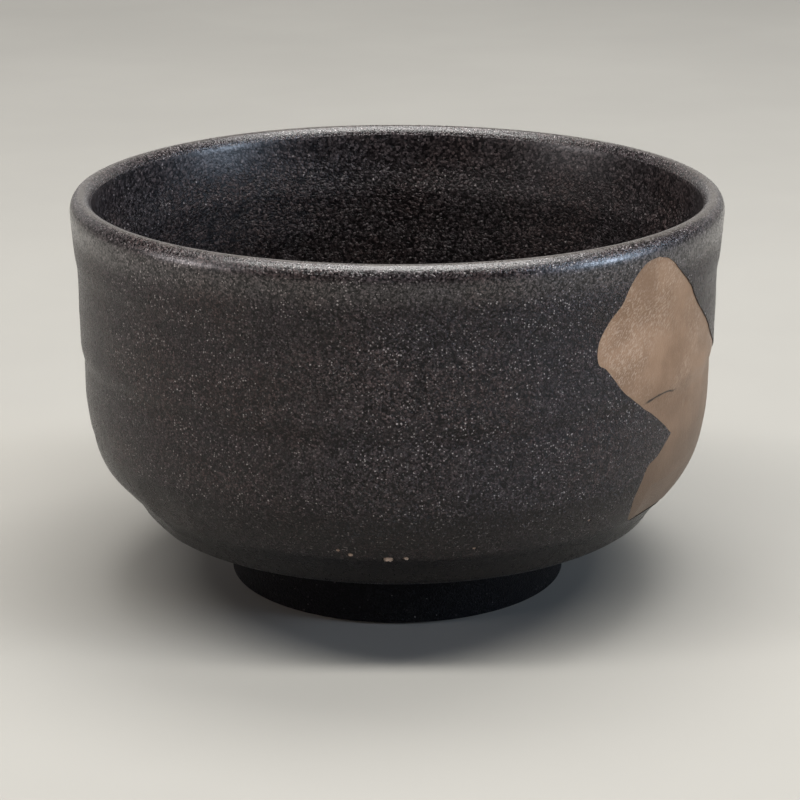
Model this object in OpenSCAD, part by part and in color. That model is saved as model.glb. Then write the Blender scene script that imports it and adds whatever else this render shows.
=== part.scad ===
// Matcha bowl: thrown and trimmed clay bowl on a luted foot ring, dipped in a
// black speckled glaze, with a copper-brown panel in a window of the outer coat.
// Origin: centre of the foot's base. +Z up, front of the bowl towards -Y.

/* [Bowl] */
// Diameter over the widest part of the lip
bowl_d = 122; // [100:1:150]
// Height from the table to the top of the lip
bowl_h = 75.4; // [62:0.2:95]
// Thickness of the wall, glaze included
wall_t = 5; // [4:0.1:6.5]
// Thickness of the floor where it meets the wall, glaze included
floor_t = 7; // [5.5:0.1:9]

/* [Lip] */
// Thickness of the rolled lip
lip_t = 4.1; // [3:0.1:5]
// Height of the rolled lip above its widest line
lip_rise = 3; // [2:0.1:4]
// Distance from the top of the lip down to the neck
neck_drop = 13.4; // [10:0.1:16]
// How far the neck stands in from the lip
neck_in = 0.85; // [0.3:0.05:1.5]

/* [Throwing step] */
// Distance from the top of the lip down to the top of the step
step_drop = 28; // [24:0.1:29]
// Height of the step
step_h = 3; // [2:0.1:3.2]
// How far the wall under the step stands in from the lip
step_in = 1.6; // [1.1:0.05:2.2]

/* [Trimmed bevels] */
// Height of the soft upper edge above the top of the foot
upper_edge_h = 19.3; // [16:0.1:19.6]
// How far the upper edge stands in from the lip
upper_edge_in = 2.5; // [2:0.1:4]
// Height of the middle edge above the top of the foot
middle_edge_h = 10.2; // [8:0.1:12]
// How far the middle edge stands in from the lip
middle_edge_in = 6.8; // [5.5:0.1:8]
// Height of the lower edge above the top of the foot
lower_edge_h = 3.5; // [2:0.1:5]
// How far the lower edge stands in from the lip
lower_edge_in = 12.2; // [10:0.1:14]

/* [Hollow] */
// Radius of the bend between the wall and the floor inside
hollow_round = 16; // [12:0.5:18]
// Radius of the tea pool in the floor
pool_r = 17; // [12:0.5:20]
// Depth of the tea pool
pool_depth = 2.6; // [1:0.1:3.5]

/* [Foot] */
// Diameter of the foot ring at its base
foot_d = 64.4; // [52:0.2:78]
// Height of the foot ring to the underside of the bowl
foot_h = 11.2; // [9.2:0.1:14]
// Thickness of the foot ring at its base, glaze included
foot_t = 6; // [5:0.1:8]
// How far the foot ring widens towards the bowl
foot_flare = 1.2; // [0.4:0.1:2]
// Depth of the hollow under the bowl inside the foot ring
well_depth = 8.1; // [6:0.1:9]
// Depth of the scored seat that the foot ring is luted into
seat_depth = 0.8; // [0.4:0.1:1.5]
// Height of the trimming peak in the middle of the hollow
peak_h = 1.2; // [0.5:0.1:2]
// Radius of the trimming peak
peak_r = 7; // [4:0.5:10]

/* [Glaze] */
// Thickness of the black glaze
glaze_t = 0.6; // [0.4:0.05:0.9]
// Thickness of the copper glaze in its window
patch_t = 0.4; // [0.2:0.05:0.4]
// Height of the bare clay line at the base of the foot
bare_h = 0.5; // [0.3:0.1:1.5]
// Angle on the lip's round at which the lip coat starts and ends
lip_coat_from = 25; // [10:5:40]
// Direction the copper window faces, from the front towards +X
window_dir = 68; // [60:1:76]

/* [Hidden] */
$fn = 144;

// Pieces per curved stretch
bow_steps = 6;
lip_steps = 12;
bend_steps = 12;
pool_steps = 10;
peak_steps = 6;
window_steps = 3;

// How far each curved stretch bulges out of, or dips under, its chord
lower_bevel_bow = -0.4;
middle_bevel_bow = 0.6;
belly_bow = 0.42;
neck_bow = 0.15;
inner_wall_bow = 0.2;
inner_lip_bow = -0.2;
foot_bow = -0.35;
well_side_lean = 0.6;
base_chamfer = 0.5;
neck_tuck = 0.15;
// Wall under the lip's widest line that the inner wall is measured from
belly_in = 1.9;

bowl_r = bowl_d / 2;
foot_r = foot_d / 2;
lip_z = bowl_h - lip_rise;
lip_mid_r = bowl_r - lip_t / 2;
floor_top = foot_h + floor_t;
bend_r = bowl_r - belly_in - wall_t - hollow_round;
bend_z = floor_top + hollow_round;

// Colours
clay_colour = [0.78, 0.66, 0.56];
black_colour = [0.17, 0.155, 0.155];
inner_colour = [0.14, 0.125, 0.125];
lip_colour = [0.38, 0.35, 0.32];
foot_colour = [0.09, 0.09, 0.11];
copper_colour = [0.62, 0.49, 0.41];

// Direction of a line, and the direction to its left
function unit(v) = v / norm(v);
function left_of(v) = [-v[1], v[0]];

// Points from a up to but not including b, bulging to the right by depth
function bow(a, b, depth, steps = bow_steps) = [
    for (i = [0 : steps - 1])
        let (t = i / steps)
        a + (b - a) * t - left_of(unit(b - a)) * depth * 4 * t * (1 - t)
];

// Points on an elliptical round
function round_line(c, rx, rz, from, to, steps) = [
    for (i = [0 : steps])
        let (a = from + (to - from) * i / steps)
        c + [rx * cos(a), rz * sin(a)]
];

// Line moved to its left by d, with mitred corners
function inset(line, d) = [
    for (i = [0 : len(line) - 1])
        let (p = max(i, 1), n = min(i, len(line) - 2))
        let (before = left_of(unit(line[p] - line[p - 1])))
        let (after = left_of(unit(line[n + 1] - line[n])))
        let (way = unit(before + after))
        line[i] + way * d / (way * after)
];

function part_of(line, from, to) = [for (i = [from : to]) line[i]];
function reversed(line) = [for (i = [len(line) - 1 : -1 : 0]) line[i]];
function last(line) = line[len(line) - 1];

// Free surface of the bowl from the foot, over the lip, to the middle of the floor
foot_bottom = [foot_r, bare_h];
foot_top = [foot_r + foot_flare, foot_h];
lower_edge = [bowl_r - lower_edge_in, foot_h + lower_edge_h];
middle_edge = [bowl_r - middle_edge_in, foot_h + middle_edge_h];
upper_edge = [bowl_r - upper_edge_in, foot_h + upper_edge_h];
step_low = [bowl_r - step_in, bowl_h - step_drop - step_h];
step_high = [bowl_r - neck_in - neck_tuck, bowl_h - step_drop];
neck = [bowl_r - neck_in, bowl_h - neck_drop];
lip_side = [bowl_r, lip_z];
lip_inside = [bowl_r - lip_t, lip_z];
inner_neck = [bowl_r - neck_in - wall_t, bowl_h - neck_drop];
bend_top = [bend_r + hollow_round, bend_z];

foot_line = bow(foot_bottom, foot_top, foot_bow);
wall_line = concat(
    [foot_top],
    bow(lower_edge, middle_edge, lower_bevel_bow),
    bow(middle_edge, upper_edge, middle_bevel_bow),
    bow(upper_edge, step_low, belly_bow),
    [step_low, step_high],
    bow(neck, lip_side, neck_bow));
lip_low = round_line([lip_mid_r, lip_z], lip_t / 2, lip_rise, 0, lip_coat_from, 2);
lip_line = round_line([lip_mid_r, lip_z], lip_t / 2, lip_rise,
                      lip_coat_from, 180 - lip_coat_from, lip_steps);
lip_end = round_line([lip_mid_r, lip_z], lip_t / 2, lip_rise,
                     180 - lip_coat_from, 180, 2);
bend_line = [for (i = [0 : bend_steps]) let (a = 90 * i / bend_steps)
    [bend_r + hollow_round * cos(a), bend_z - hollow_round * sin(a)]];
pool_line = [for (i = [0 : pool_steps]) let (r = pool_r * (1 - i / pool_steps))
    [r, floor_top - pool_depth * (1 + cos(180 * r / pool_r)) / 2]];
inner_line = concat(
    part_of(lip_end, 1, 1),
    bow(lip_inside, inner_neck, inner_lip_bow),
    bow(inner_neck, bend_top, inner_wall_bow),
    bend_line,
    part_of(pool_line, 0, pool_steps - 2),
    [[pool_line[pool_steps - 1][0], last(pool_line)[1]], last(pool_line)]);

skin = concat(foot_line, wall_line, part_of(lip_low, 0, 1), lip_line, inner_line);
clay = inset(skin, glaze_t);
copper = inset(skin, glaze_t - patch_t);

// Where one coat hands over to the next along the skin
foot_end = len(foot_line);
lip_start = foot_end + len(wall_line) + 2;
lip_stop = lip_start + len(lip_line) - 1;
skin_end = len(skin) - 1;

// Free surface of the hollow inside the foot, from its side to the middle
well_r = foot_r - foot_t;
well_skin = concat(
    [[well_r, bare_h], [well_r - well_side_lean, well_depth]],
    [for (i = [0 : peak_steps - 1]) let (r = peak_r * (1 - i / peak_steps))
        [r, well_depth - peak_h * (1 + cos(180 * r / peak_r)) / 2]],
    [[0, well_depth - peak_h * (1 + cos(180 / peak_steps)) / 2]]);
well_clay = inset(well_skin, -glaze_t);

// Scored seat of the foot ring in the underside of the bowl
seat_z = clay[foot_end][1] + seat_depth;
seat_out_r = clay[foot_end][0];
seat_in_r = well_clay[1][0];

// Copper window: angle from the front towards +X, and height over the foot's base
lobe_line = [[48, lip_z - 0.4], [44.4, lip_z - 1], [41.5, lip_z - 3.9],
             [39.8, lip_z - 7.1], [37.5, lip_z - 9.7], [35.4, lip_z - 13],
             [34.9, lip_z - 16], [35.4, lip_z - 17.6], [37, lip_z - 18.7],
             [41.3, lip_z - 23.7], [46.4, lip_z - 27.5], [51.1, lip_z - 30.8],
             [55.7, lip_z - 34.7]];
tail_line = [[55.7, lip_z - 34.7], [53.5, lip_z - 36.4], [51.7, lip_z - 38],
             [49.4, lip_z - 39.2], [48, lip_z - 42.1], [47.1, lip_z - 45.2],
             [48.4, lip_z - 49.2], [51, lip_z - 51.2], [58, lip_z - 52],
             [74, lip_z - 52.2], [88, lip_z - 51.4], [96, lip_z - 46.4],
             [96, lip_z - 40], [91, lip_z - 32], [83.5, lip_z - 26.4],
             [75.6, lip_z - 21.8], [69.8, lip_z - 17.1], [64.2, lip_z - 12.6],
             [59.7, lip_z - 8.2], [54.7, lip_z - 4.1], [51.4, lip_z - 1.6],
             [48, lip_z - 0.4]];

// Smooth line through points, without its last point
function through(p) = [
    for (i = [0 : len(p) - 2], s = [0 : window_steps - 1])
        let (t = s / window_steps, a = p[max(i - 1, 0)], b = p[i], c = p[i + 1])
        let (d = p[min(i + 2, len(p) - 1)])
        b + (c - a) * t / 2 + (a * 2 - b * 5 + c * 4 - d) * t * t / 2
            + (b * 3 - a - c * 3 + d) * t * t * t / 2
];

function wall_r(z) = lookup(z, [for (p = wall_line) [p[1], p[0]]]);

// Block with the window's outline, standing through the wall
module window_block() {
    reach = bowl_r + 10;
    outline = [for (p = concat(through(lobe_line), through(tail_line)))
        [wall_r(p[1]) * sin(p[0] - window_dir), p[1]]];
    rotate([90, 0, window_dir])
        linear_extrude(height = reach)
            polygon(outline);
}

// Body of revolution between a free surface and the surface under it
module coat(outer, inner, from, to) {
    rotate_extrude()
        polygon(concat(part_of(outer, from, to), reversed(part_of(inner, from, to))));
}

module clay_body() {
    color(clay_colour)
        rotate_extrude()
            polygon(concat(
                part_of(clay, foot_end, skin_end),
                reversed(part_of(well_clay, 1, len(well_clay) - 1)),
                [[seat_in_r, seat_z], [seat_out_r, seat_z]]));
}

module foot_ring() {
    base_out_r = clay[0][0];
    base_in_r = well_clay[0][0];
    color(clay_colour)
        rotate_extrude()
            polygon(concat(
                part_of(clay, 0, foot_end),
                [[seat_out_r, seat_z], [seat_in_r, seat_z], well_clay[1], well_clay[0],
                 [base_in_r + base_chamfer, 0], [base_out_r - base_chamfer, 0]]));
}

module outer_glaze() {
    color(black_colour)
        difference() {
            coat(skin, clay, foot_end, lip_start);
            window_block();
        }
}

module inner_glaze() {
    color(inner_colour)
        coat(skin, clay, lip_stop, skin_end);
}

module lip_glaze() {
    color(lip_colour)
        coat(skin, clay, lip_start, lip_stop);
}

module foot_glaze() {
    color(foot_colour)
        coat(skin, clay, 0, foot_end);
}

module well_glaze() {
    color(foot_colour)
        coat(well_skin, well_clay, 0, len(well_skin) - 1);
}

module copper_patch() {
    color(copper_colour)
        intersection() {
            coat(copper, clay, foot_end, lip_start);
            window_block();
        }
}

clay_body();
foot_ring();
outer_glaze();
inner_glaze();
lip_glaze();
foot_glaze();
well_glaze();
copper_patch();
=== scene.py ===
import bpy
import math
import random
import numpy as np
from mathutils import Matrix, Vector


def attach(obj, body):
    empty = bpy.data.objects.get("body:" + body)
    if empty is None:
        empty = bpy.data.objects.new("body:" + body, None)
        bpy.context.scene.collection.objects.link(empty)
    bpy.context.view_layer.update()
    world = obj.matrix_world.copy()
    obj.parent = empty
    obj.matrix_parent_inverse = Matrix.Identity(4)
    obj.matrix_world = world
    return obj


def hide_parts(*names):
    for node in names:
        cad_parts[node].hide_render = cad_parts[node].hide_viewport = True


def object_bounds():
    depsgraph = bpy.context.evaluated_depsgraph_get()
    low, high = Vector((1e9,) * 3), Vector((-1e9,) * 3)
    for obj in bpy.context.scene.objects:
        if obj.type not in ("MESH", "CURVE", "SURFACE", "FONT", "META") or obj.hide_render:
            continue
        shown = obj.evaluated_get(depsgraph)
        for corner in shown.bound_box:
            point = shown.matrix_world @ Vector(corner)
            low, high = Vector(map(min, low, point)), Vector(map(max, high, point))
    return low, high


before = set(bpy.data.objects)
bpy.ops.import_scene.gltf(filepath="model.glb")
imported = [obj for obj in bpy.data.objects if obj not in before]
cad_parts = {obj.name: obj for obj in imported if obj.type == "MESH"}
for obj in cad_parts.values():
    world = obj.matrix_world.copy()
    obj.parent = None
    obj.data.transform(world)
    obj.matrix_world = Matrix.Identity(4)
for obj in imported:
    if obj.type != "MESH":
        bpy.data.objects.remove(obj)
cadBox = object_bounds()
print("frame loaded")

mm = 0.001
scene = bpy.context.scene
random.seed(11)


def onlySelect(piece):
    bpy.ops.object.select_all(action="DESELECT")
    piece.select_set(True)
    bpy.context.view_layer.objects.active = piece


def editMode(on):
    bpy.ops.object.mode_set(mode="EDIT" if on else "OBJECT")


def getCoords(piece):
    co = np.empty(len(piece.data.vertices) * 3, np.float32)
    piece.data.vertices.foreach_get("co", co)
    return co.reshape(-1, 3).astype(float)


def setCoords(piece, co):
    piece.data.vertices.foreach_set("co", co.astype(np.float32).ravel())
    piece.data.update()


def applyModifier(piece, kind, **settings):
    onlySelect(piece)
    modifier = piece.modifiers.new(kind.title(), kind)
    for key, value in settings.items():
        setattr(modifier, key, value)
    bpy.ops.object.modifier_apply(modifier=modifier.name)


def newMesh(name, points, edges=(), faces=()):
    mesh = bpy.data.meshes.new(name)
    mesh.from_pydata([tuple(p) for p in points], list(edges), list(faces))
    piece = bpy.data.objects.new(name, mesh)
    scene.collection.objects.link(piece)
    return piece


spinLook = {
    "sectionTurn": math.radians(7),    # turn of the cutting plane, clear of the CAD mesh's own points
    "weld": 0.002 * mm,
    "softCorner": math.radians(24),    # outline corners over this are rounded off
    "sharpCorner": math.radians(75),   # and over this they stay sharp, where coats meet
    "cornerCut": 0.55 * mm,            # how far from the corner the rounding starts
    "cornerShare": 0.35,               # and the most of a side that it may take
    "straight": 0.004,                 # bends below this are dropped from an outline
    "smoothAngle": math.radians(40),   # edges sharper than this stay crisp in the shading
    "leastRadius": 1 * mm,
}


def sectionOf(node):
    # points (radius, height) round the node's section on its back side, in order
    piece = bpy.data.objects.new("section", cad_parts[node].data.copy())
    scene.collection.objects.link(piece)
    onlySelect(piece)
    turn = spinLook["sectionTurn"]
    editMode(True)
    bpy.ops.mesh.select_all(action="SELECT")
    bpy.ops.mesh.remove_doubles(threshold=spinLook["weld"])
    bpy.ops.mesh.bisect(plane_co=(0, 0, 0), plane_no=(math.cos(turn), math.sin(turn), 0),
                        clear_inner=True, clear_outer=True)
    bpy.ops.mesh.select_all(action="SELECT")
    bpy.ops.mesh.bisect(plane_co=(0, 0, 0), plane_no=(-math.sin(turn), math.cos(turn), 0),
                        clear_inner=True)
    bpy.ops.mesh.select_all(action="SELECT")
    bpy.ops.mesh.remove_doubles(threshold=spinLook["weld"])
    editMode(False)
    near = {}
    for edge in piece.data.edges:
        a, b = edge.vertices
        near.setdefault(a, []).append(b)
        near.setdefault(b, []).append(a)
    co = getCoords(piece)
    ends = [v for v, others in near.items() if len(others) == 1]
    here, before, order = (ends or list(near))[0], None, []
    while here is not None and here not in order[:1]:
        order.append(here)
        onward = [v for v in near[here] if v != before]
        before, here = here, (onward[0] if onward else None)
    outline = [(math.hypot(co[v][0], co[v][1]), co[v][2]) for v in order]
    bpy.data.objects.remove(piece)
    return np.array(outline), not ends


def thinned(outline, closed):
    # drops points that lie on a straight line between their neighbours
    keep = []
    count = len(outline)
    for i in range(count):
        a, b, c = outline[i - 1], outline[i], outline[(i + 1) % count]
        if not closed and i in (0, count - 1):
            keep.append(b)
            continue
        one, two = b - a, c - b
        bend = abs(one[0] * two[1] - one[1] * two[0])
        if bend > spinLook["straight"] * np.hypot(*one) * np.hypot(*two):
            keep.append(b)
    return np.array(keep)


def cornerTurns(outline, closed):
    count, turns = len(outline), []
    for i in range(count):
        one = outline[i] - outline[i - 1]
        two = outline[(i + 1) % count] - outline[i]
        turns.append(abs(math.atan2(one[0] * two[1] - one[1] * two[0], one @ two)))
    if not closed:
        turns[0] = turns[-1] = math.pi
    return turns


def softened(outline, closed):
    # cuts each middling corner, so that the smooth line rounds it inside the outline
    made = []
    for i, turn in enumerate(cornerTurns(outline, closed)):
        corner = outline[i]
        if not spinLook["softCorner"] < turn < spinLook["sharpCorner"]:
            made.append(corner)
            continue
        for other in (outline[i - 1], outline[(i + 1) % len(outline)]):
            way = other - corner
            made.append(corner + way * min(spinLook["cornerCut"] / np.hypot(*way), spinLook["cornerShare"]))
    return np.array(made)


def smoothOutline(outline, closed, spacing):
    # a smooth line through the outline's points, with its sharp corners kept
    outline = softened(thinned(outline, closed), closed)
    count = len(outline)
    sharp = [turn > spinLook["sharpCorner"] for turn in cornerTurns(outline, closed)]
    made = []
    for i in range(count if closed else count - 1):
        b, c = outline[i], outline[(i + 1) % count]
        a = b * 2 - c if sharp[i] else outline[i - 1]
        d = c * 2 - b if sharp[(i + 1) % count] else outline[(i + 2) % count]
        length = np.hypot(*(c - b))
        slopeB = (c - a) * length / max(np.hypot(*(b - a)) + length, 1e-9)
        slopeC = (d - b) * length / max(np.hypot(*(d - c)) + length, 1e-9)
        cuts = max(1, math.ceil(length / spacing))
        for k in range(cuts):
            t = k / cuts
            made.append(b * (2 * t**3 - 3 * t**2 + 1) + slopeB * (t**3 - 2 * t**2 + t)
                        + c * (3 * t**2 - 2 * t**3) + slopeC * (t**3 - t**2))
    if not closed:
        made.append(outline[-1])
    # the smooth line may not swing past the outline's own extent
    return np.clip(made, outline.min(axis=0), outline.max(axis=0))


def spun(name, node, spacing, steps):
    # a closed turned solid with the CAD node's section
    outline, closed = sectionOf(node)
    line = smoothOutline(outline, closed, spacing)
    if not closed:
        line[0][0] = line[-1][0] = 0
    count = len(line)
    joins = [(i, (i + 1) % count) for i in range(count if closed else count - 1)]
    piece = newMesh(name, [(0, r, z) for r, z in line], joins)
    applyModifier(piece, "SCREW", axis="Z", angle=2 * math.pi, steps=steps, render_steps=steps,
                  use_merge_vertices=True, merge_threshold=spinLook["weld"])
    editMode(True)
    bpy.ops.mesh.select_all(action="SELECT")
    bpy.ops.mesh.remove_doubles(threshold=spinLook["weld"])
    bpy.ops.mesh.normals_make_consistent(inside=False)
    editMode(False)
    return piece


def finishPiece(piece, nodes, material):
    onlySelect(piece)
    bpy.ops.object.shade_smooth_by_angle(angle=spinLook["smoothAngle"])
    piece.data.materials.clear()
    piece.data.materials.append(material)
    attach(piece, "root")
    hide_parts(*nodes)
    print("made", piece.name, len(piece.data.polygons), "faces")


def outermost(outline, height):
    # radius of the outline's outside at a height
    reach = [0.0]
    for i in range(len(outline)):
        (r1, z1), (r2, z2) = outline[i - 1], outline[i]
        if min(z1, z2) <= height <= max(z1, z2) and z1 != z2:
            reach.append(r1 + (r2 - r1) * (height - z1) / (z2 - z1))
    return max(reach)


# The turned outside of the bowl, as radius by height, that the hand marks are measured from
wallOutline, _ = sectionOf("outer_glaze")
skinHeights = np.linspace(wallOutline[:, 1].min(), wallOutline[:, 1].max(), 240)[1:-1]
skinRadii = np.array([outermost(wallOutline, h) for h in skinHeights])


def turnOf(co):
    # angle round the bowl from the front towards +X
    return np.arctan2(co[:, 0], -co[:, 1])


def ripple(turn, height, seed, waves=5, turns=(1, 6), rises=(40, 220)):
    # slow random unevenness between -1 and 1, the same on every run
    pick = random.Random(seed)
    total = np.zeros(len(turn))
    for _ in range(waves):
        around = pick.randint(*turns)
        up = pick.uniform(*rises) * pick.choice((-1, 1))
        total += np.sin(around * turn + up * height + pick.uniform(0, 6.28))
    return total / waves


def pushIn(co, radius, inward):
    # moves points towards the bowl's axis
    scale = 1 - inward / np.maximum(radius, spinLook["leastRadius"])
    co[:, 0] *= scale
    co[:, 1] *= scale


# Marks that the hands and the trimming tool left on the whole wall
handMarks = {
    "lipDip": 0.3 * mm,          # how far the lip sinks at its lowest
    "lipDipFrom": 58 * mm,       # height at which the lip's unevenness begins
    "lipSeed": 4,
    "oval": 0.22 * mm,           # how far the wall is out of round
    "ovalFrom": 20 * mm,         # height at which that begins
    "ovalRise": 50 * mm,         # and the height over which it grows
    "ovalTurn": 0.6,
    "skin": 2.4 * mm,            # depth of wall that a trimmed flat takes with it
    # trimmed flats low on the wall: turn in degrees, middle height, depth, half height
    "flats": [(-84, 25 * mm, 0.8 * mm, 7 * mm), (-64, 19.5 * mm, 0.75 * mm, 5 * mm),
              (-47, 24 * mm, 0.35 * mm, 6 * mm), (58, 22.5 * mm, 0.4 * mm, 6 * mm),
              (128, 23 * mm, 0.7 * mm, 7 * mm), (-140, 21 * mm, 0.6 * mm, 6 * mm),
              (176, 25 * mm, 0.35 * mm, 6 * mm)],
}


def flatDepth(turn, height):
    depth = np.zeros(len(turn))
    for degrees, middle, deep, halfHeight in handMarks["flats"]:
        radius = np.interp(middle, skinHeights, skinRadii)
        off = (turn - math.radians(degrees) + math.pi) % (2 * math.pi) - math.pi
        # the limit keeps a flat within 60 degrees to each side
        cut = radius - (radius - deep) / np.maximum(np.cos(off), 0.5)
        rise = 1 - np.clip(np.abs(height - middle) / halfHeight, 0, 1) ** 2
        depth = np.maximum(depth, np.minimum(np.maximum(cut, 0), deep) * np.sqrt(rise))
    return depth


def shapeByHand(piece):
    # the wall's clay and all its coats take the same marks, so that the coats stay on the clay
    co = getCoords(piece)
    turn, height = turnOf(co), co[:, 2]
    radius = np.hypot(co[:, 0], co[:, 1])
    wall = np.interp(height, skinHeights, skinRadii)
    outerSide = (radius > wall - handMarks["skin"]) & (height > skinHeights[0])
    inward = flatDepth(turn, height) * outerSide
    high = np.clip((height - handMarks["ovalFrom"]) / handMarks["ovalRise"], 0, 1)
    inward += handMarks["oval"] * (0.5 + 0.5 * np.sin(2 * turn + handMarks["ovalTurn"])) * high
    dipFrom = handMarks["lipDipFrom"]
    share = np.clip((height - dipFrom) / (cadBox[1].z - dipFrom), 0, 1)
    unevenness = 0.5 + 0.5 * ripple(turn, height * 0, handMarks["lipSeed"], 4, (1, 5))
    dip = handMarks["lipDip"] * unevenness * share**2
    pushIn(co, radius, inward)
    co[:, 2] -= dip
    setCoords(piece, co)


# Ridges that the fingers left in the wall while it was thrown, on the free surface alone
throwing = {
    "outside": {"side": -1, "depth": 0.16 * mm, "pitch": 9.5 * mm,
                "low": 27 * mm, "high": 71 * mm, "seed": 5},
    "inside": {"side": 1, "depth": 0.3 * mm, "pitch": 11 * mm,
               "low": 22 * mm, "high": 71 * mm, "seed": 9},
    "ease": 6 * mm,          # height over which the ridges fade in and out
    "climb": 1.5 * mm,       # rise of a ridge in one turn
    "sway": 1.4,             # how much a ridge wanders up and down
    "lumps": 0.07 * mm,      # slow unevenness of the coat
    "outerSkin": 0.2 * mm,   # the free surface of the outer coat is this close to the outside
    "innerSkin": 4.2 * mm,   # and that of the inner coat is at least this far from it
}


def onOuterFree(radius, height):
    return radius > np.interp(height, skinHeights, skinRadii) - throwing["outerSkin"]


def onInnerFree(radius, height):
    return radius < np.interp(height, skinHeights, skinRadii) - throwing["innerSkin"]


def throwRidges(piece, freeSide, side, depth, pitch, low, high, seed):
    # side is -1 on the outside and 1 inside, so that a ridge always cuts into the coat
    co = getCoords(piece)
    turn, height = turnOf(co), co[:, 2]
    radius = np.hypot(co[:, 0], co[:, 1])
    reach = throwing["ease"]
    ease = np.clip((height - low) / reach, 0, 1) * np.clip((high - height) / reach, 0, 1)
    phase = 2 * math.pi * (height + throwing["climb"] * turn / (2 * math.pi)) / pitch
    wave = 0.5 + 0.5 * np.sin(phase + throwing["sway"] * ripple(turn, height, seed))
    lumps = 0.5 + 0.5 * ripple(turn, height, seed + 1, 8, (3, 19), (150, 600))
    cut = depth * wave * (0.6 + 0.4 * ripple(turn, height, seed + 2)) + throwing["lumps"] * lumps
    pushIn(co, radius, -side * cut * ease * freeSide(radius, height))
    setCoords(piece, co)


# The window that is left free of black for the copper glaze
windowLook = {
    "facing": math.radians(68),     # from the front towards +X
    "near": 18 * mm,                # the cutting block reaches from here
    "far": 76 * mm,                 # to here, measured from the bowl's axis
    "edgeStep": 0.45 * mm,
    "edgeWander": 0.11 * mm,
    "edgeSeeds": (31, 37),          # sideways and up
    "edgeWaves": 12,
    "edgeTurns": (5, 60),
    "coatDepth": 0.32 * mm,         # the coat's outside is this close to the bowl's outside
    "sideFace": 0.08,               # a cut face's normal leans towards the window by less than this
}
windowOut = Vector((math.sin(windowLook["facing"]), -math.cos(windowLook["facing"]), 0))
windowSide = Vector((math.cos(windowLook["facing"]), math.sin(windowLook["facing"]), 0))


def windowRim():
    # the rim of the CAD copper coat, seen along the window's direction, in order
    piece = bpy.data.objects.new("rim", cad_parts["copper_patch"].data.copy())
    scene.collection.objects.link(piece)
    onlySelect(piece)
    editMode(True)
    bpy.ops.mesh.select_all(action="SELECT")
    bpy.ops.mesh.remove_doubles(threshold=spinLook["weld"])
    editMode(False)
    co = getCoords(piece)
    radius = np.hypot(co[:, 0], co[:, 1])
    outer = radius > np.interp(co[:, 2], skinHeights, skinRadii) - windowLook["coatDepth"]
    cutFaces = [f for f in piece.data.polygons if abs(f.normal @ windowOut) < windowLook["sideFace"]]
    joins = {}
    for face in cutFaces:
        for edge in face.edge_keys:
            joins[edge] = joins.get(edge, 0) + 1
    near = {}
    for (one, two), count in joins.items():
        if count == 1 and outer[one] and outer[two]:
            near.setdefault(one, []).append(two)
            near.setdefault(two, []).append(one)
    start = next(iter(near))
    here, before, order = start, None, []
    while here is not None:
        order.append(here)
        onward = [v for v in near[here] if v != before]
        before, here = here, (onward[0] if onward and onward[0] != start else None)
    rim = np.array([(co[v] @ np.array(windowSide), co[v][2]) for v in order])
    bpy.data.objects.remove(piece)
    return rim


def windowBlock():
    # a block with the rim's outline and a slightly wandering edge, standing through the wall
    rim = smoothOutline(windowRim(), True, windowLook["edgeStep"])
    angle = np.linspace(0, 2 * math.pi, len(rim), endpoint=False)
    for axis, seed in enumerate(windowLook["edgeSeeds"]):
        wander = ripple(angle, angle * 0, seed, windowLook["edgeWaves"], windowLook["edgeTurns"])
        rim[:, axis] += windowLook["edgeWander"] * wander
    base = [windowSide * u + Vector((0, 0, v)) + windowOut * windowLook["near"] for u, v in rim]
    block = newMesh("windowBlock", base, faces=[range(len(base))])
    onlySelect(block)
    editMode(True)
    bpy.ops.mesh.select_all(action="SELECT")
    step = windowOut * (windowLook["far"] - windowLook["near"])
    bpy.ops.mesh.extrude_region_move(TRANSFORM_OT_translate={"value": step})
    bpy.ops.mesh.select_all(action="SELECT")
    bpy.ops.mesh.normals_make_consistent(inside=False)
    editMode(False)
    return block


# Chips at the middle edge, where the coat has come off the clay: turn, height, half width, half rise
chips = {
    "places": [(-1.6, 21.7 * mm, 1.15 * mm, 0.5 * mm), (1.6, 21.9 * mm, 0.65 * mm, 0.38 * mm),
               (-8.4, 22.6 * mm, 0.55 * mm, 0.4 * mm), (-10.6, 23.5 * mm, 0.45 * mm, 0.32 * mm),
               (13.8, 23.6 * mm, 0.35 * mm, 0.26 * mm), (36.4, 25.6 * mm, 0.4 * mm, 0.26 * mm),
               (151, 21.5 * mm, 0.95 * mm, 0.45 * mm), (-117, 22 * mm, 0.65 * mm, 0.4 * mm)],
    "hole": {"depth": 0.8 * mm, "sink": 0.0, "fill": 1.0},            # what is cut from the coat
    "clay": {"depth": 0.42 * mm, "sink": 0.56 * mm, "fill": 1.06},    # the clay that shows in the holes
    "ragged": 0.28,                                                   # unevenness of a chip's outline
}


def chipLumps(depth, sink, fill):
    # one ragged lump for each chip, joined in one object
    bpy.ops.object.select_all(action="DESELECT")
    made = []
    for degrees, height, halfWidth, halfRise in chips["places"]:
        turn = math.radians(degrees)
        radius = float(np.interp(height, skinHeights, skinRadii))
        out = Vector((math.sin(turn), -math.cos(turn), 0))
        side = Vector((math.cos(turn), math.sin(turn), 0))
        bpy.ops.mesh.primitive_ico_sphere_add(subdivisions=3, radius=1)
        chip = bpy.context.object
        co = getCoords(chip)
        co *= 1 + chips["ragged"] * np.array([[random.uniform(-1, 1)] for _ in co])
        moved = [side * (x * halfWidth * fill) + out * (radius - sink + y * depth)
                 + Vector((0, 0, height + z * halfRise * fill)) for x, y, z in co]
        setCoords(chip, np.array(moved))
        made.append(chip)
    onlySelect(made[0])
    for chip in made:
        chip.select_set(True)
    bpy.ops.object.join()
    editMode(True)
    bpy.ops.mesh.select_all(action="SELECT")
    bpy.ops.mesh.normals_make_consistent(inside=False)
    editMode(False)
    return bpy.context.object


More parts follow.
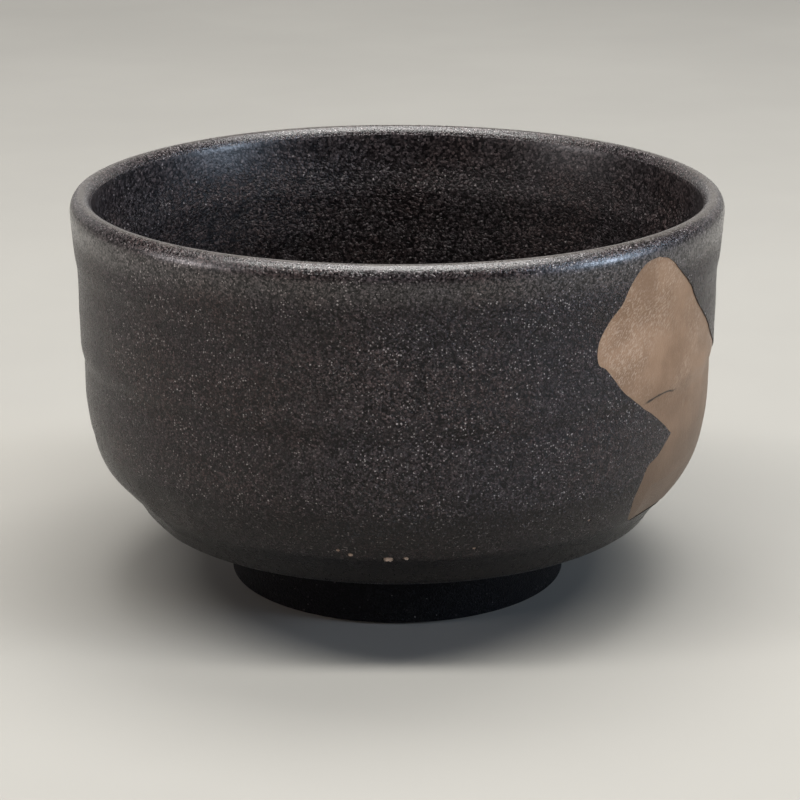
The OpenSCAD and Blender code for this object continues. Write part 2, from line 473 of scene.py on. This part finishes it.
def setInputs(tree, node, inputs):
    # a socket is linked, anything else is set as the input's own value
    for key, value in inputs.items():
        if isinstance(value, bpy.types.NodeSocket):
            tree.links.new(value, node.inputs[key])
        else:
            node.inputs[key].default_value = value


def addNode(tree, kind, inputs=None, **settings):
    made = tree.nodes.new("ShaderNode" + kind)
    for key, value in settings.items():
        setattr(made, key, value)
    setInputs(tree, made, inputs or {})
    return made


def calc(tree, operation, one, two=0.0, three=None, clamp=False):
    # one Math node, by its operation
    inputs = {0: one, 1: two}
    if three is not None:
        inputs[2] = three
    return addNode(tree, "Math", inputs, operation=operation, use_clamp=clamp).outputs[0]


def noiseOf(tree, place, scale, detail, **more):
    inputs = {"Vector": place, "Scale": scale, "Detail": detail}
    inputs.update(more)
    return addNode(tree, "TexNoise", inputs).outputs["Fac"]


def blendColour(tree, share, one, two):
    made = addNode(tree, "Mix", {0: share, 6: one, 7: two}, data_type="RGBA")
    return made.outputs[2]


def fade(tree, value, low, high, toLow=0.0, toHigh=1.0):
    made = addNode(tree, "MapRange", {"Value": value, "From Min": low, "From Max": high,
                                      "To Min": toLow, "To Max": toHigh},
                   interpolation_type="SMOOTHSTEP")
    return made.outputs["Result"]


def newGroup(name, inputs, outputs):
    tree = bpy.data.node_groups.new(name, "ShaderNodeTree")
    for label, kind, default in inputs:
        socket = tree.interface.new_socket(name=label, in_out="INPUT", socket_type="NodeSocket" + kind)
        if default is not None:
            socket.default_value = default
    for label, kind in outputs:
        tree.interface.new_socket(name=label, in_out="OUTPUT", socket_type="NodeSocket" + kind)
    return tree, tree.nodes.new("NodeGroupInput").outputs, tree.nodes.new("NodeGroupOutput").inputs


def useGroup(tree, group, inputs):
    made = tree.nodes.new("ShaderNodeGroup")
    made.node_tree = group
    setInputs(tree, made, inputs)
    return made.outputs


sugarGrainShape = {
    "warpScale": 0.9,      # scales of the waver, patches and fine grain, against the crystals' own
    "patchScale": 0.1,
    "fineScale": 1.5,
    "warpReach": 1.1,      # how far an outline wavers, in crystals
    "contrast": 1.6,       # over 1 leaves fewer light crystals among the dark
    "pitShare": 0.18,
    "domeRelief": 0.6,
    "fineRelief": 0.5,
    "pitRelief": 0.5,
}


def sugarGrainGroup():
    # the glaze's sugary crystals: each grain's own brightness, the pits between them and their relief
    tree, given, out = newGroup("sugarGrain", [
        ("Vector", "Vector", None), ("Grain Size", "Float", 0.00045), ("Bright Share", "Float", 0.06)],
        [("Grain", "Float"), ("Bright", "Float"), ("Pit", "Float"), ("Relief", "Float"), ("Patch", "Float")])
    shape = sugarGrainShape
    scale = calc(tree, "DIVIDE", 1.0, given["Grain Size"])
    warpScale = calc(tree, "MULTIPLY", scale, shape["warpScale"])
    warp = addNode(tree, "TexNoise", {"Vector": given["Vector"], "Scale": warpScale, "Detail": 1.0})
    shift = addNode(tree, "VectorMath", {0: warp.outputs["Color"], 1: (0.5, 0.5, 0.5)}, operation="SUBTRACT")
    warpReach = calc(tree, "MULTIPLY", given["Grain Size"], shape["warpReach"])
    reach = addNode(tree, "VectorMath", {0: shift.outputs[0], "Scale": warpReach}, operation="SCALE")
    place = addNode(tree, "VectorMath", {0: given["Vector"], 1: reach.outputs[0]}, operation="ADD")
    cells = addNode(tree, "TexVoronoi", {"Vector": place.outputs[0], "Scale": scale, "Randomness": 1.0})
    pick = addNode(tree, "SeparateColor", {0: cells.outputs["Color"]}).outputs
    patch = noiseOf(tree, given["Vector"], calc(tree, "MULTIPLY", scale, shape["patchScale"]), 3.0)
    core = fade(tree, cells.outputs["Distance"], 0.85, 0.25, 0.3, 1.0)
    fineScale = calc(tree, "MULTIPLY", scale, shape["fineScale"])
    fine = noiseOf(tree, given["Vector"], fineScale, 2.0, Roughness=0.6)
    grain = calc(tree, "MULTIPLY", calc(tree, "POWER", pick[1], shape["contrast"]), core)
    grain = calc(tree, "MULTIPLY", grain, fade(tree, fine, 0.32, 0.6, 0.3, 1.3))
    grain = calc(tree, "MULTIPLY", grain, fade(tree, patch, 0.3, 0.7, 0.85, 1.12))
    tree.links.new(grain, out["Grain"])
    isBright = calc(tree, "GREATER_THAN", pick[0], calc(tree, "SUBTRACT", 1.0, given["Bright Share"]))
    glintCrystal = calc(tree, "MULTIPLY", isBright, fade(tree, cells.outputs["Distance"], 0.5, 0.1))
    tree.links.new(glintCrystal, out["Bright"])
    isPit = calc(tree, "LESS_THAN", pick[2], shape["pitShare"])
    pit = calc(tree, "MULTIPLY", isPit, fade(tree, cells.outputs["Distance"], 0.5, 0.2))
    tree.links.new(pit, out["Pit"])
    dome = calc(tree, "MULTIPLY", core, pick[1])
    fineRelief = calc(tree, "MULTIPLY", fine, shape["fineRelief"])
    raised = calc(tree, "MULTIPLY_ADD", dome, shape["domeRelief"], fineRelief)
    relief = calc(tree, "SUBTRACT", raised, calc(tree, "MULTIPLY", pit, shape["pitRelief"]))
    tree.links.new(relief, out["Relief"])
    tree.links.new(patch, out["Patch"])
    return tree


def heightBandGroup():
    # a band round the bowl at one height, with a wandering border
    tree, given, out = newGroup("heightBand", [
        ("Vector", "Vector", None), ("Middle", "Float", 0.07), ("Half Width", "Float", 0.002),
        ("Soft", "Float", 0.001), ("Wander", "Float", 0.0005), ("Wander Scale", "Float", 90.0)],
        [("Mask", "Float"), ("Height", "Float")])
    z = addNode(tree, "SeparateXYZ", {0: given["Vector"]}).outputs["Z"]
    noise = noiseOf(tree, given["Vector"], given["Wander Scale"], 3.0)
    spread = calc(tree, "MULTIPLY", given["Wander"], 4.0)
    drift = calc(tree, "MULTIPLY", calc(tree, "SUBTRACT", noise, 0.5), spread)
    height = calc(tree, "ADD", z, drift)
    off = calc(tree, "ABSOLUTE", calc(tree, "SUBTRACT", height, given["Middle"]))
    beyond = calc(tree, "SUBTRACT", off, given["Half Width"])
    mask = calc(tree, "SUBTRACT", 1.0, calc(tree, "DIVIDE", beyond, given["Soft"]), clamp=True)
    tree.links.new(mask, out["Mask"])
    tree.links.new(height, out["Height"])
    return tree


def slowMottleGroup():
    # slow drift of the glaze between two tints
    tree, given, out = newGroup("slowMottle", [
        ("Vector", "Vector", None), ("Size", "Float", 0.02), ("Low", "Color", (0, 0, 0, 1)),
        ("High", "Color", (1, 1, 1, 1))], [("Color", "Color"), ("Share", "Float")])
    scale = calc(tree, "DIVIDE", 1.0, given["Size"])
    wide = noiseOf(tree, given["Vector"], scale, 4.0, Roughness=0.6)
    share = fade(tree, wide, 0.35, 0.66)
    tree.links.new(share, out["Share"])
    tree.links.new(blendColour(tree, share, given["Low"], given["High"]), out["Color"])
    return tree


sugarGrain, heightBand, slowMottle = sugarGrainGroup(), heightBandGroup(), slowMottleGroup()


def startMaterial(name):
    made = bpy.data.materials.new(name)
    made.use_nodes = True
    tree = made.node_tree
    tree.nodes.clear()
    shader = addNode(tree, "BsdfPrincipled")
    end = addNode(tree, "OutputMaterial")
    tree.links.new(shader.outputs[0], end.inputs[0])
    place = addNode(tree, "TexCoord").outputs["Object"]
    return made, tree, shader, place


def addBump(tree, shader, relief, depth):
    bump = addNode(tree, "Bump", {"Height": relief, "Distance": depth, "Strength": 1.0})
    tree.links.new(bump.outputs[0], shader.inputs["Normal"])


def blackGlaze(name, look):
    made, tree, shader, place = startMaterial(name)
    grain = useGroup(tree, sugarGrain, {"Vector": place, "Grain Size": look["grain"],
                                        "Bright Share": look["brightShare"]})
    tint = useGroup(tree, slowMottle, {"Vector": place, "Size": look["tintSize"],
                                       "Low": look["grainCool"], "High": look["grainWarm"]})
    lip = useGroup(tree, heightBand, {"Vector": place, "Middle": look["lipMiddle"],
                                      "Half Width": look["lipHalf"], "Soft": look["lipSoft"],
                                      "Wander": look["lipWander"], "Wander Scale": look["lipWanderScale"]})
    # painted shade: the outer coat shows less grain low on the wall, so that the wall is darker there, where
    # it turns down into shadow
    shadeGrainLevel = look["shadeGrainLowest"]
    for low, high, gain in look["shadeGrainSteps"]:
        shadeGrainLevel = calc(tree, "ADD", shadeGrainLevel, fade(tree, lip["Height"], low, high, 0.0, gain))
    share = calc(tree, "MULTIPLY", grain["Grain"], shadeGrainLevel)
    colour = blendColour(tree, share, look["dark"], tint["Color"])
    # bright crystals: pale crystals, lightened further as painted glints, gather in level streaks
    flat = addNode(tree, "Mapping", {"Vector": place, "Scale": look["streakStretch"]})
    streak = noiseOf(tree, flat.outputs[0], look["streakScale"], 3.0)
    glint = calc(tree, "MULTIPLY", look["brightStrength"], fade(tree, streak, 0.36, 0.66, 0.4, 1.7))
    glintCrystal = calc(tree, "MULTIPLY", grain["Bright"], calc(tree, "MULTIPLY", shadeGrainLevel, glint), clamp=True)
    colour = blendColour(tree, glintCrystal, colour, look["glintCrystal"])
    pit = calc(tree, "MULTIPLY", grain["Pit"], look["pitDark"])
    colour = blendColour(tree, pit, colour, look["pitColour"])
    worn = noiseOf(tree, place, look["wornScale"], 2.0)
    lipShare = calc(tree, "MULTIPLY", lip["Mask"], fade(tree, worn, 0.3, 0.62, 0.45, 1.0))
    colour = blendColour(tree, lipShare, colour, look["lipColour"])
    tree.links.new(colour, shader.inputs["Base Color"])
    spread = look["patchRough"]
    rough = calc(tree, "MULTIPLY_ADD", grain["Patch"], spread, look["rough"] - spread / 2)
    rough = calc(tree, "ADD", rough, calc(tree, "MULTIPLY", grain["Pit"], look["pitRough"]))
    rough = calc(tree, "ADD", rough, calc(tree, "MULTIPLY", lip["Mask"], look["lipRough"]))
    tree.links.new(rough, shader.inputs["Roughness"])
    shader.inputs["IOR"].default_value = look["ior"]
    # the run glaze under the lip is glassy, and lies smoother over the grain
    neck = fade(tree, lip["Height"], *look["glassyAbove"], 0.0, look["glassy"])
    broken = fade(tree, grain["Relief"], 0.25, 0.55, 0.25, 1.0)
    tree.links.new(calc(tree, "MULTIPLY", neck, broken), shader.inputs["Coat Weight"])
    shader.inputs["Coat Roughness"].default_value = look["coatRough"]
    shader.inputs["Coat IOR"].default_value = look["coatIor"]
    onLip = fade(tree, lip["Mask"], 0.0, 1.0, 1.0, look["lipRelief"])
    relief = calc(tree, "MULTIPLY", grain["Relief"], onLip)
    relief = calc(tree, "MULTIPLY", relief, fade(tree, shadeGrainLevel, 0.0, 1.0, 0.3, 1.0))
    level = fade(tree, lip["Height"], *look["smoothAbove"], 1.0, look["neckRelief"])
    relief = calc(tree, "MULTIPLY", relief, level)
    addBump(tree, shader, relief, look["relief"])
    return made


outerGlazeLook = {
    "grain": 0.00036,                       # size of a crystal
    "relief": 0.0004,
    "brightShare": 0.15,                    # share of the crystals that are bright, pale crystals with painted glints
    "brightStrength": 0.75,
    # colour of the bright crystals: pale crystal, lightened to a painted glint
    "glintCrystal": (0.42, 0.38, 0.37, 1),
    "dark": (0.0015, 0.0006, 0.0008, 1),    # the glass between the crystals
    "grainCool": (0.092, 0.071, 0.077, 1),
    "grainWarm": (0.104, 0.072, 0.069, 1),
    "tintSize": 0.016,                      # size of the drift between cool and warm
    "streakScale": 60.0,
    "streakStretch": (1.0, 1.0, 5.0),
    "pitColour": (0.001, 0.0008, 0.0008, 1),
    "pitDark": 0.8,
    "pitRough": 0.2,
    "rough": 0.26,
    "patchRough": 0.14,                     # how much the roughness drifts over the surface
    "ior": 1.35,
    "lipMiddle": 0.0756,                    # the thin glaze on top of the lip: its height, width and border
    "lipHalf": 0.0003,
    "lipSoft": 0.0004,
    "lipWander": 0.0002,
    "lipWanderScale": 300.0,
    "lipColour": (0.06, 0.05, 0.042, 1),
    "lipRough": 0.05,
    "lipRelief": 0.8,
    "wornScale": 1700.0,
    "smoothAbove": (0.064, 0.071),          # heights over which the relief fades towards the lip
    "neckRelief": 0.22,
    "shadeGrainLowest": 0.05,                       # painted shade: grain low on the wall, and what it gains higher up: from, to, how much
    "shadeGrainSteps": [(0.0206, 0.0222, 0.42), (0.0298, 0.0314, 0.53)],
    "glassyAbove": (0.0665, 0.0715),        # heights over which the glassy run begins
    "glassy": 1.0,
    "coatRough": 0.3,
    "coatIor": 1.6,
}
lipGlazeLook = dict(outerGlazeLook, rough=0.24, ior=1.66, neckRelief=0.32, glassy=0.3)
innerGlazeLook = dict(outerGlazeLook, grain=0.00056, brightShare=0.05, brightStrength=0.4, rough=0.36,
                      shadeGrainLowest=1.0, shadeGrainSteps=[], grainCool=(0.072, 0.06, 0.063, 1),
                      grainWarm=(0.08, 0.058, 0.056, 1), neckRelief=0.3, glassy=0.5)
# painted shade: a darker copy of the black glaze, with fewer bright crystals, for the foot and its hollow in
# shadow under the bowl
shadedFootGlazeLook = dict(outerGlazeLook, brightShare=0.02, brightStrength=0.3, dark=(0.001, 0.001, 0.0016, 1),
                     grainCool=(0.009, 0.008, 0.011, 1), grainWarm=(0.01, 0.009, 0.0095, 1),
                     shadeGrainLowest=1.0, shadeGrainSteps=[], rough=0.42, ior=1.2)


def copperGlaze(name, look):
    made, tree, shader, place = startMaterial(name)
    tint = useGroup(tree, slowMottle, {"Vector": place, "Size": look["tintSize"],
                                       "Low": look["deep"], "High": look["light"]})
    z = addNode(tree, "SeparateXYZ", {0: place}).outputs["Z"]
    # painted shade: the coat darkens towards the foot
    low = fade(tree, z, *look["shadedBelow"], 1.0, 0.0)
    colour = blendColour(tree, calc(tree, "MULTIPLY", low, look["lowShadeShare"]), tint["Color"], look["low"])
    leaned = addNode(tree, "Mapping", {"Vector": place, "Rotation": look["glitterLean"],
                                       "Scale": look["glitterStretch"]}, vector_type="TEXTURE")
    glitter = noiseOf(tree, leaned.outputs[0], look["glitterScale"], 3.0, Roughness=0.65)
    # painted glints: the glitter is lightened on the upper part, over real brush marks
    spark = fade(tree, glitter, 0.46, 0.66)
    where = noiseOf(tree, place, look["sparkPatches"], 2.0)
    upper = calc(tree, "MULTIPLY", fade(tree, where, 0.35, 0.6), fade(tree, z, *look["sparkAbove"]))
    spark = calc(tree, "MULTIPLY", spark, upper)
    colour = blendColour(tree, calc(tree, "MULTIPLY", spark, look["sparkShare"]), colour, look["spark"])
    # painted shade: a dark line along the crease
    crease = useGroup(tree, heightBand, {"Vector": place, "Middle": look["creaseMiddle"],
                                         "Half Width": look["creaseHalf"], "Soft": look["creaseSoft"],
                                         "Wander": look["creaseWander"],
                                         "Wander Scale": look["creaseWanderScale"]})["Mask"]
    dot = addNode(tree, "VectorMath", {0: place, 1: tuple(windowSide)}, operation="DOT_PRODUCT")
    side = dot.outputs["Value"]
    (start, full), (ebb, end) = look["creaseAlong"]
    along = calc(tree, "MULTIPLY", fade(tree, side, start, full), fade(tree, side, ebb, end, 1.0, 0.0))
    colour = blendColour(tree, calc(tree, "MULTIPLY", crease, along), colour, look["creaseShadeColour"])
    tree.links.new(colour, shader.inputs["Base Color"])
    spread = look["glitterRough"]
    rough = calc(tree, "MULTIPLY_ADD", glitter, spread, look["rough"] - spread / 2)
    rough = calc(tree, "SUBTRACT", rough, calc(tree, "MULTIPLY", spark, look["sparkSmooth"]))
    tree.links.new(rough, shader.inputs["Roughness"])
    shader.inputs["Metallic"].default_value = look["metal"]
    fine = noiseOf(tree, place, look["fineScale"], 2.0)
    fineRelief = calc(tree, "MULTIPLY", fine, look["fineRelief"])
    relief = calc(tree, "MULTIPLY_ADD", glitter, look["glitterRelief"], fineRelief)
    addBump(tree, shader, relief, look["relief"])
    return made


copperLook = {
    "deep": (0.25, 0.146, 0.083, 1),
    "light": (0.345, 0.21, 0.126, 1),
    "tintSize": 0.009,
    "low": (0.08, 0.052, 0.034, 1),         # painted shade: darker towards the foot, over these heights
    "lowShadeShare": 0.75,
    "shadedBelow": (0.022, 0.058),
    "spark": (0.62, 0.48, 0.37, 1),         # fine leaning glitter on the upper part: brush marks in the coat, lightened in part as painted glints
    "sparkShare": 0.45,
    "sparkAbove": (0.04, 0.052),
    "sparkPatches": 75.0,
    "glitterLean": (0.0, 0.75, 1.19),
    "glitterStretch": (1.0, 1.0, 3.2),
    "glitterScale": 3400.0,
    "creaseMiddle": 0.0457,                 # height of the crease, and where along the window it fades
    "creaseHalf": 0.0001,
    "creaseSoft": 0.0002,
    "creaseWander": 0.0005,
    "creaseWanderScale": 150.0,
    "creaseAlong": ((-0.0215, -0.0198), (-0.014, -0.0105)),
    # colour of the painted shade in the crease
    "creaseShadeColour": (0.03, 0.018, 0.012, 1),
    "rough": 0.46,
    "glitterRough": 0.2,
    "sparkSmooth": 0.12,
    "metal": 0.35,
    "fineScale": 2600.0,
    "relief": 0.00008,                      # depth of the relief, and the two grains' shares in it
    "glitterRelief": 0.7,
    "fineRelief": 0.3,
}


def bareClay(name, look):
    made, tree, shader, place = startMaterial(name)
    tint = useGroup(tree, slowMottle, {"Vector": place, "Size": look["tintSize"],
                                       "Low": look["deep"], "High": look["light"]})
    sand = addNode(tree, "TexVoronoi", {"Vector": place, "Scale": look["sandScale"]}).outputs
    speck = addNode(tree, "SeparateColor", {0: sand["Color"]}).outputs[0]
    isDark = calc(tree, "GREATER_THAN", speck, look["speckOver"])
    dark = calc(tree, "MULTIPLY", isDark, fade(tree, sand["Distance"], 0.5, 0.2))
    colour = blendColour(tree, calc(tree, "MULTIPLY", dark, look["speckDark"]), tint["Color"], look["speck"])
    tree.links.new(colour, shader.inputs["Base Color"])
    rough = calc(tree, "MULTIPLY_ADD", tint["Share"], look["driftRough"], look["rough"])
    tree.links.new(rough, shader.inputs["Roughness"])
    fine = noiseOf(tree, place, look["fineScale"], 3.0)
    relief = calc(tree, "ADD", fine, calc(tree, "MULTIPLY", sand["Distance"], look["sandRelief"]))
    addBump(tree, shader, relief, look["relief"])
    return made


clayLook = {
    "deep": (0.5, 0.36, 0.29, 1),
    "light": (0.64, 0.5, 0.42, 1),
    "tintSize": 0.006,
    "speck": (0.1, 0.07, 0.05, 1),
    "speckOver": 0.9,      # grains of sand over this are dark
    "speckDark": 0.7,
    "sandScale": 2600.0,
    "sandRelief": 0.4,
    "rough": 0.78,
    "driftRough": 0.1,
    "fineScale": 1900.0,
    "relief": 0.00009,
}

outerGlaze = blackGlaze("blackSpeckledGlaze", outerGlazeLook)
innerGlaze = blackGlaze("blackInnerGlaze", innerGlazeLook)
lipGlaze = blackGlaze("thinLipGlaze", lipGlazeLook)
# painted shade: the darker foot glaze
shadedFootGlaze = blackGlaze("footBlackGlazeShaded", shadedFootGlazeLook)
copperFinish = copperGlaze("copperBrownGlaze", copperLook)
clayFinish = bareClay("firedClay", clayLook)
print("finishes ready")

# Outer coat: turned, ridged, trimmed, then cut for the window and the chips
outerCoatMesh = {"spacing": 1.0 * mm, "steps": 480}
outerCoat = spun("outerGlazeCoat", "outer_glaze", **outerCoatMesh)
throwRidges(outerCoat, onOuterFree, **throwing["outside"])
shapeByHand(outerCoat)
block = windowBlock()
applyModifier(outerCoat, "BOOLEAN", object=block, operation="DIFFERENCE", solver="EXACT")
tool = chipLumps(**chips["hole"])
applyModifier(outerCoat, "BOOLEAN", object=tool, operation="DIFFERENCE", solver="EXACT")
bpy.data.objects.remove(tool)
finishPiece(outerCoat, ["outer_glaze"], outerGlaze)

# Copper coat: a thinner coat in the window, with a crease and a burst bubble
copperCoatMesh = {"spacing": 0.5 * mm, "steps": 720}
copperCoatLook = {
    "thinner": 0.2 * mm,
    "skin": 0.3 * mm,                # the coat's free surface is this close to the bowl's outside
    # line of the crease: turn in degrees, height
    "crease": [(46.8, 45.2 * mm), (48.6, 45.7 * mm), (51, 45.3 * mm), (53.5, 45.6 * mm), (56, 46 * mm)],
    "creaseWidth": 0.3 * mm,
    "creaseDepth": 0.2 * mm,
    "creaseWander": 0.12 * mm,
    "creaseEnds": (1.5, 3),          # degrees over which it deepens at its start and at its end
    "bubble": (61.4, 41.9 * mm, 0.75 * mm, 0.14 * mm),    # turn in degrees, height, radius, depth
    "bubbleRing": 0.6,               # where in the radius the ring is deepest, and how wide it is
    "bubbleWidth": 0.3,
}


def shapeCopper(piece):
    co = getCoords(piece)
    turn, height = turnOf(co), co[:, 2]
    turnDegrees = np.degrees(turn)
    radius = np.hypot(co[:, 0], co[:, 1])
    wall = np.interp(height, skinHeights, skinRadii)
    look = copperCoatLook
    free = radius > wall - look["skin"]
    inward = look["thinner"] * free
    line = look["crease"]
    middle = np.interp(turnDegrees, [p[0] for p in line], [p[1] for p in line])
    middle = middle + look["creaseWander"] * ripple(turn * 40, turn * 0, 8, 4, (1, 5))
    startEase, endEase = look["creaseEnds"]
    along = np.clip((turnDegrees - line[0][0]) / startEase, 0, 1)
    along = along * np.clip((line[-1][0] - turnDegrees) / endEase, 0, 1)
    groove = np.exp(-((height - middle) / look["creaseWidth"]) ** 2)
    inward += look["creaseDepth"] * along * free * groove
    degrees, at, size, deep = look["bubble"]
    away = np.hypot((turn - math.radians(degrees)) * radius, height - at)
    inward += deep * free * np.exp(-((away - size * look["bubbleRing"]) / (size * look["bubbleWidth"])) ** 2)
    pushIn(co, radius, inward)
    setCoords(piece, co)


copperCoat = spun("copperGlazeCoat", "outer_glaze", **copperCoatMesh)
throwRidges(copperCoat, onOuterFree, **throwing["outside"])
shapeCopper(copperCoat)
shapeByHand(copperCoat)
applyModifier(copperCoat, "BOOLEAN", object=block, operation="INTERSECT", solver="EXACT")
bpy.data.objects.remove(block)
finishPiece(copperCoat, ["copper_patch"], copperFinish)

# Lip coat
lipCoatMesh = {"spacing": 0.35 * mm, "steps": 540}
lipCoat = spun("lipGlazeCoat", "lip_glaze", **lipCoatMesh)
shapeByHand(lipCoat)
finishPiece(lipCoat, ["lip_glaze"], lipGlaze)

# Inner coat, with its own throwing ridges
innerCoatMesh = {"spacing": 1.3 * mm, "steps": 420}
innerCoat = spun("innerGlazeCoat", "inner_glaze", **innerCoatMesh)
throwRidges(innerCoat, onInnerFree, **throwing["inside"])
shapeByHand(innerCoat)
finishPiece(innerCoat, ["inner_glaze"], innerGlaze)

# Coats of the foot: on its outside, and in the hollow that it stands round
footCoatMesh = {"spacing": 0.6 * mm, "steps": 360}
footCoat = spun("footGlazeCoat", "foot_glaze", **footCoatMesh)
shapeByHand(footCoat)
finishPiece(footCoat, ["foot_glaze"], shadedFootGlaze)

wellCoatMesh = {"spacing": 0.7 * mm, "steps": 300}
wellCoat = spun("wellGlazeCoat", "well_glaze", **wellCoatMesh)
finishPiece(wellCoat, ["well_glaze"], shadedFootGlaze)

# Clay: the foot ring, and the body with the clay that shows in the chips
footRingMesh = {"spacing": 0.7 * mm, "steps": 300}
footRing = spun("footRing", "foot_ring", **footRingMesh)
finishPiece(footRing, ["foot_ring"], clayFinish)

clayBodyMesh = {"spacing": 1.6 * mm, "steps": 420}
clayBody = spun("clayBody", "clay_body", **clayBodyMesh)
shapeByHand(clayBody)
lumps = chipLumps(**chips["clay"])
onlySelect(clayBody)
lumps.select_set(True)
bpy.ops.object.join()
finishPiece(clayBody, ["clay_body"], clayFinish)

# Floor
floorLook = {
    "half": 2.2,
    "colour": (0.32, 0.31, 0.285, 1),
    "lighter": 1.06,     # how much lighter its lighter parts are
    "driftSize": 0.2,
    "rough": 0.9,
}
bpy.ops.object.select_all(action="DESELECT")
bpy.ops.mesh.primitive_plane_add(size=2 * floorLook["half"])
tableTop = bpy.context.object
tableTop.name = "tableTop"
floorFinish, tree, shader, place = startMaterial("paleTable")
lighterFloor = tuple(c * floorLook["lighter"] for c in floorLook["colour"][:3]) + (1,)
drift = useGroup(tree, slowMottle, {"Vector": place, "Size": floorLook["driftSize"],
                                    "Low": floorLook["colour"], "High": lighterFloor})
tree.links.new(drift["Color"], shader.inputs["Base Color"])
shader.inputs["Roughness"].default_value = floorLook["rough"]
tableTop.data.materials.append(floorFinish)

# Camera
cameraLook = {
    "place": (0.5 * mm, -440.2 * mm, 173.6 * mm),
    "aim": (0.5 * mm, 0, 33.2 * mm),
    "lens": 108,
    "sensor": 36,
    "clip": (0.02, 20),
}
cameraData = bpy.data.cameras.new("camera")
camera = bpy.data.objects.new("camera", cameraData)
scene.collection.objects.link(camera)
camera.location = cameraLook["place"]
camera.rotation_euler = (Vector(cameraLook["aim"]) - camera.location).to_track_quat("-Z", "Y").to_euler()
cameraData.lens = cameraLook["lens"]
cameraData.sensor_width = cameraLook["sensor"]
cameraData.clip_start, cameraData.clip_end = cameraLook["clip"]
scene.camera = camera

# Light: two soft lights overhead, a faint one low behind that the lip and floor reflect,
# a cool one from the right and a faint warm one from the left
lights = {
    "overheadStrip": {"place": (0.0, -0.26, 1.0), "aim": (0, 0, 0.05), "size": (1.6, 0.16),
                      "power": 17, "colour": (1, 0.985, 0.96)},
    "overheadBack": {"place": (0.1, 0.3, 1.2), "aim": (0, 0, 0.05), "size": (0.9, 0.5),
                     "power": 12.5, "colour": (1, 0.985, 0.97)},
    "backWall": {"place": (0, 1.0, 0.35), "aim": (0, 0, 0.1), "size": (2.2, 0.6),
                 "power": 2.6, "colour": (1, 0.98, 0.95)},
    "coolRight": {"place": (1.3, -0.36, 0.32), "aim": (0, 0, 0.06), "size": (0.44, 0.4),
                  "power": 10, "colour": (0.66, 0.8, 1)},
    "warmLeft": {"place": (-1.3, -0.36, 0.32), "aim": (0, 0, 0.06), "size": (0.44, 0.4),
                 "power": 5, "colour": (1, 0.93, 0.94)},
}
for name, look in lights.items():
    data = bpy.data.lights.new(name, "AREA")
    data.shape = "RECTANGLE"
    data.size, data.size_y = look["size"]
    data.energy = look["power"]
    data.color = look["colour"]
    lamp = bpy.data.objects.new(name, data)
    scene.collection.objects.link(lamp)
    lamp.location = look["place"]
    lamp.rotation_euler = (Vector(look["aim"]) - lamp.location).to_track_quat("-Z", "Y").to_euler()

# Room: a faint cool light from all sides
roomLook = {"colour": (0.9, 0.93, 1, 1), "strength": 0.03}
world = bpy.data.worlds.new("softRoom")
scene.world = world
world.use_nodes = True
roomLight = world.node_tree.nodes["Background"]
roomLight.inputs["Color"].default_value = roomLook["colour"]
roomLight.inputs["Strength"].default_value = roomLook["strength"]
scene.view_settings.view_transform = "Standard"
print("floor, camera and lights ready")
